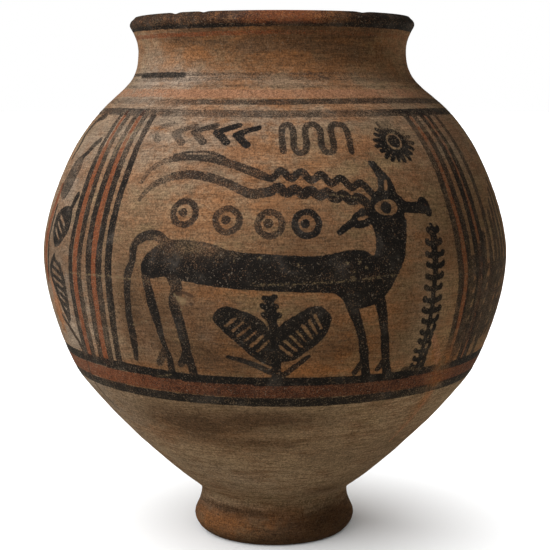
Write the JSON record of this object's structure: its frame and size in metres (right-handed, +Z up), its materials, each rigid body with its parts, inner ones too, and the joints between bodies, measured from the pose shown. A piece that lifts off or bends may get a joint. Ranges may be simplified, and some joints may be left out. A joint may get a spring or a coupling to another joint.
{
  "type": "terracotta vessel",
  "caption": "Wheel-thrown terracotta storage jar with a round body, short flaring neck, thickened lip and small pedestal foot, painted with bands, plants and a long-horned animal.",
  "frame": {"origin": "centre of the standing ring under the foot, on the surface the jar stands on", "axes": "+Z up along the jar's turning axis; the main painted panel faces -Y; +X is to the right of someone looking at that panel"},
  "size_m": [0.3398, 0.3398, 0.38],
  "materials": {
    "painted_terracotta": "matt buff-brown slip with wheel marks, worn black and red painted bands and figures, orange bare clay at the lip and foot"
  },
  "bodies": {
    "root": {"vessel": "painted_terracotta"}
  },
  "joints": []
}
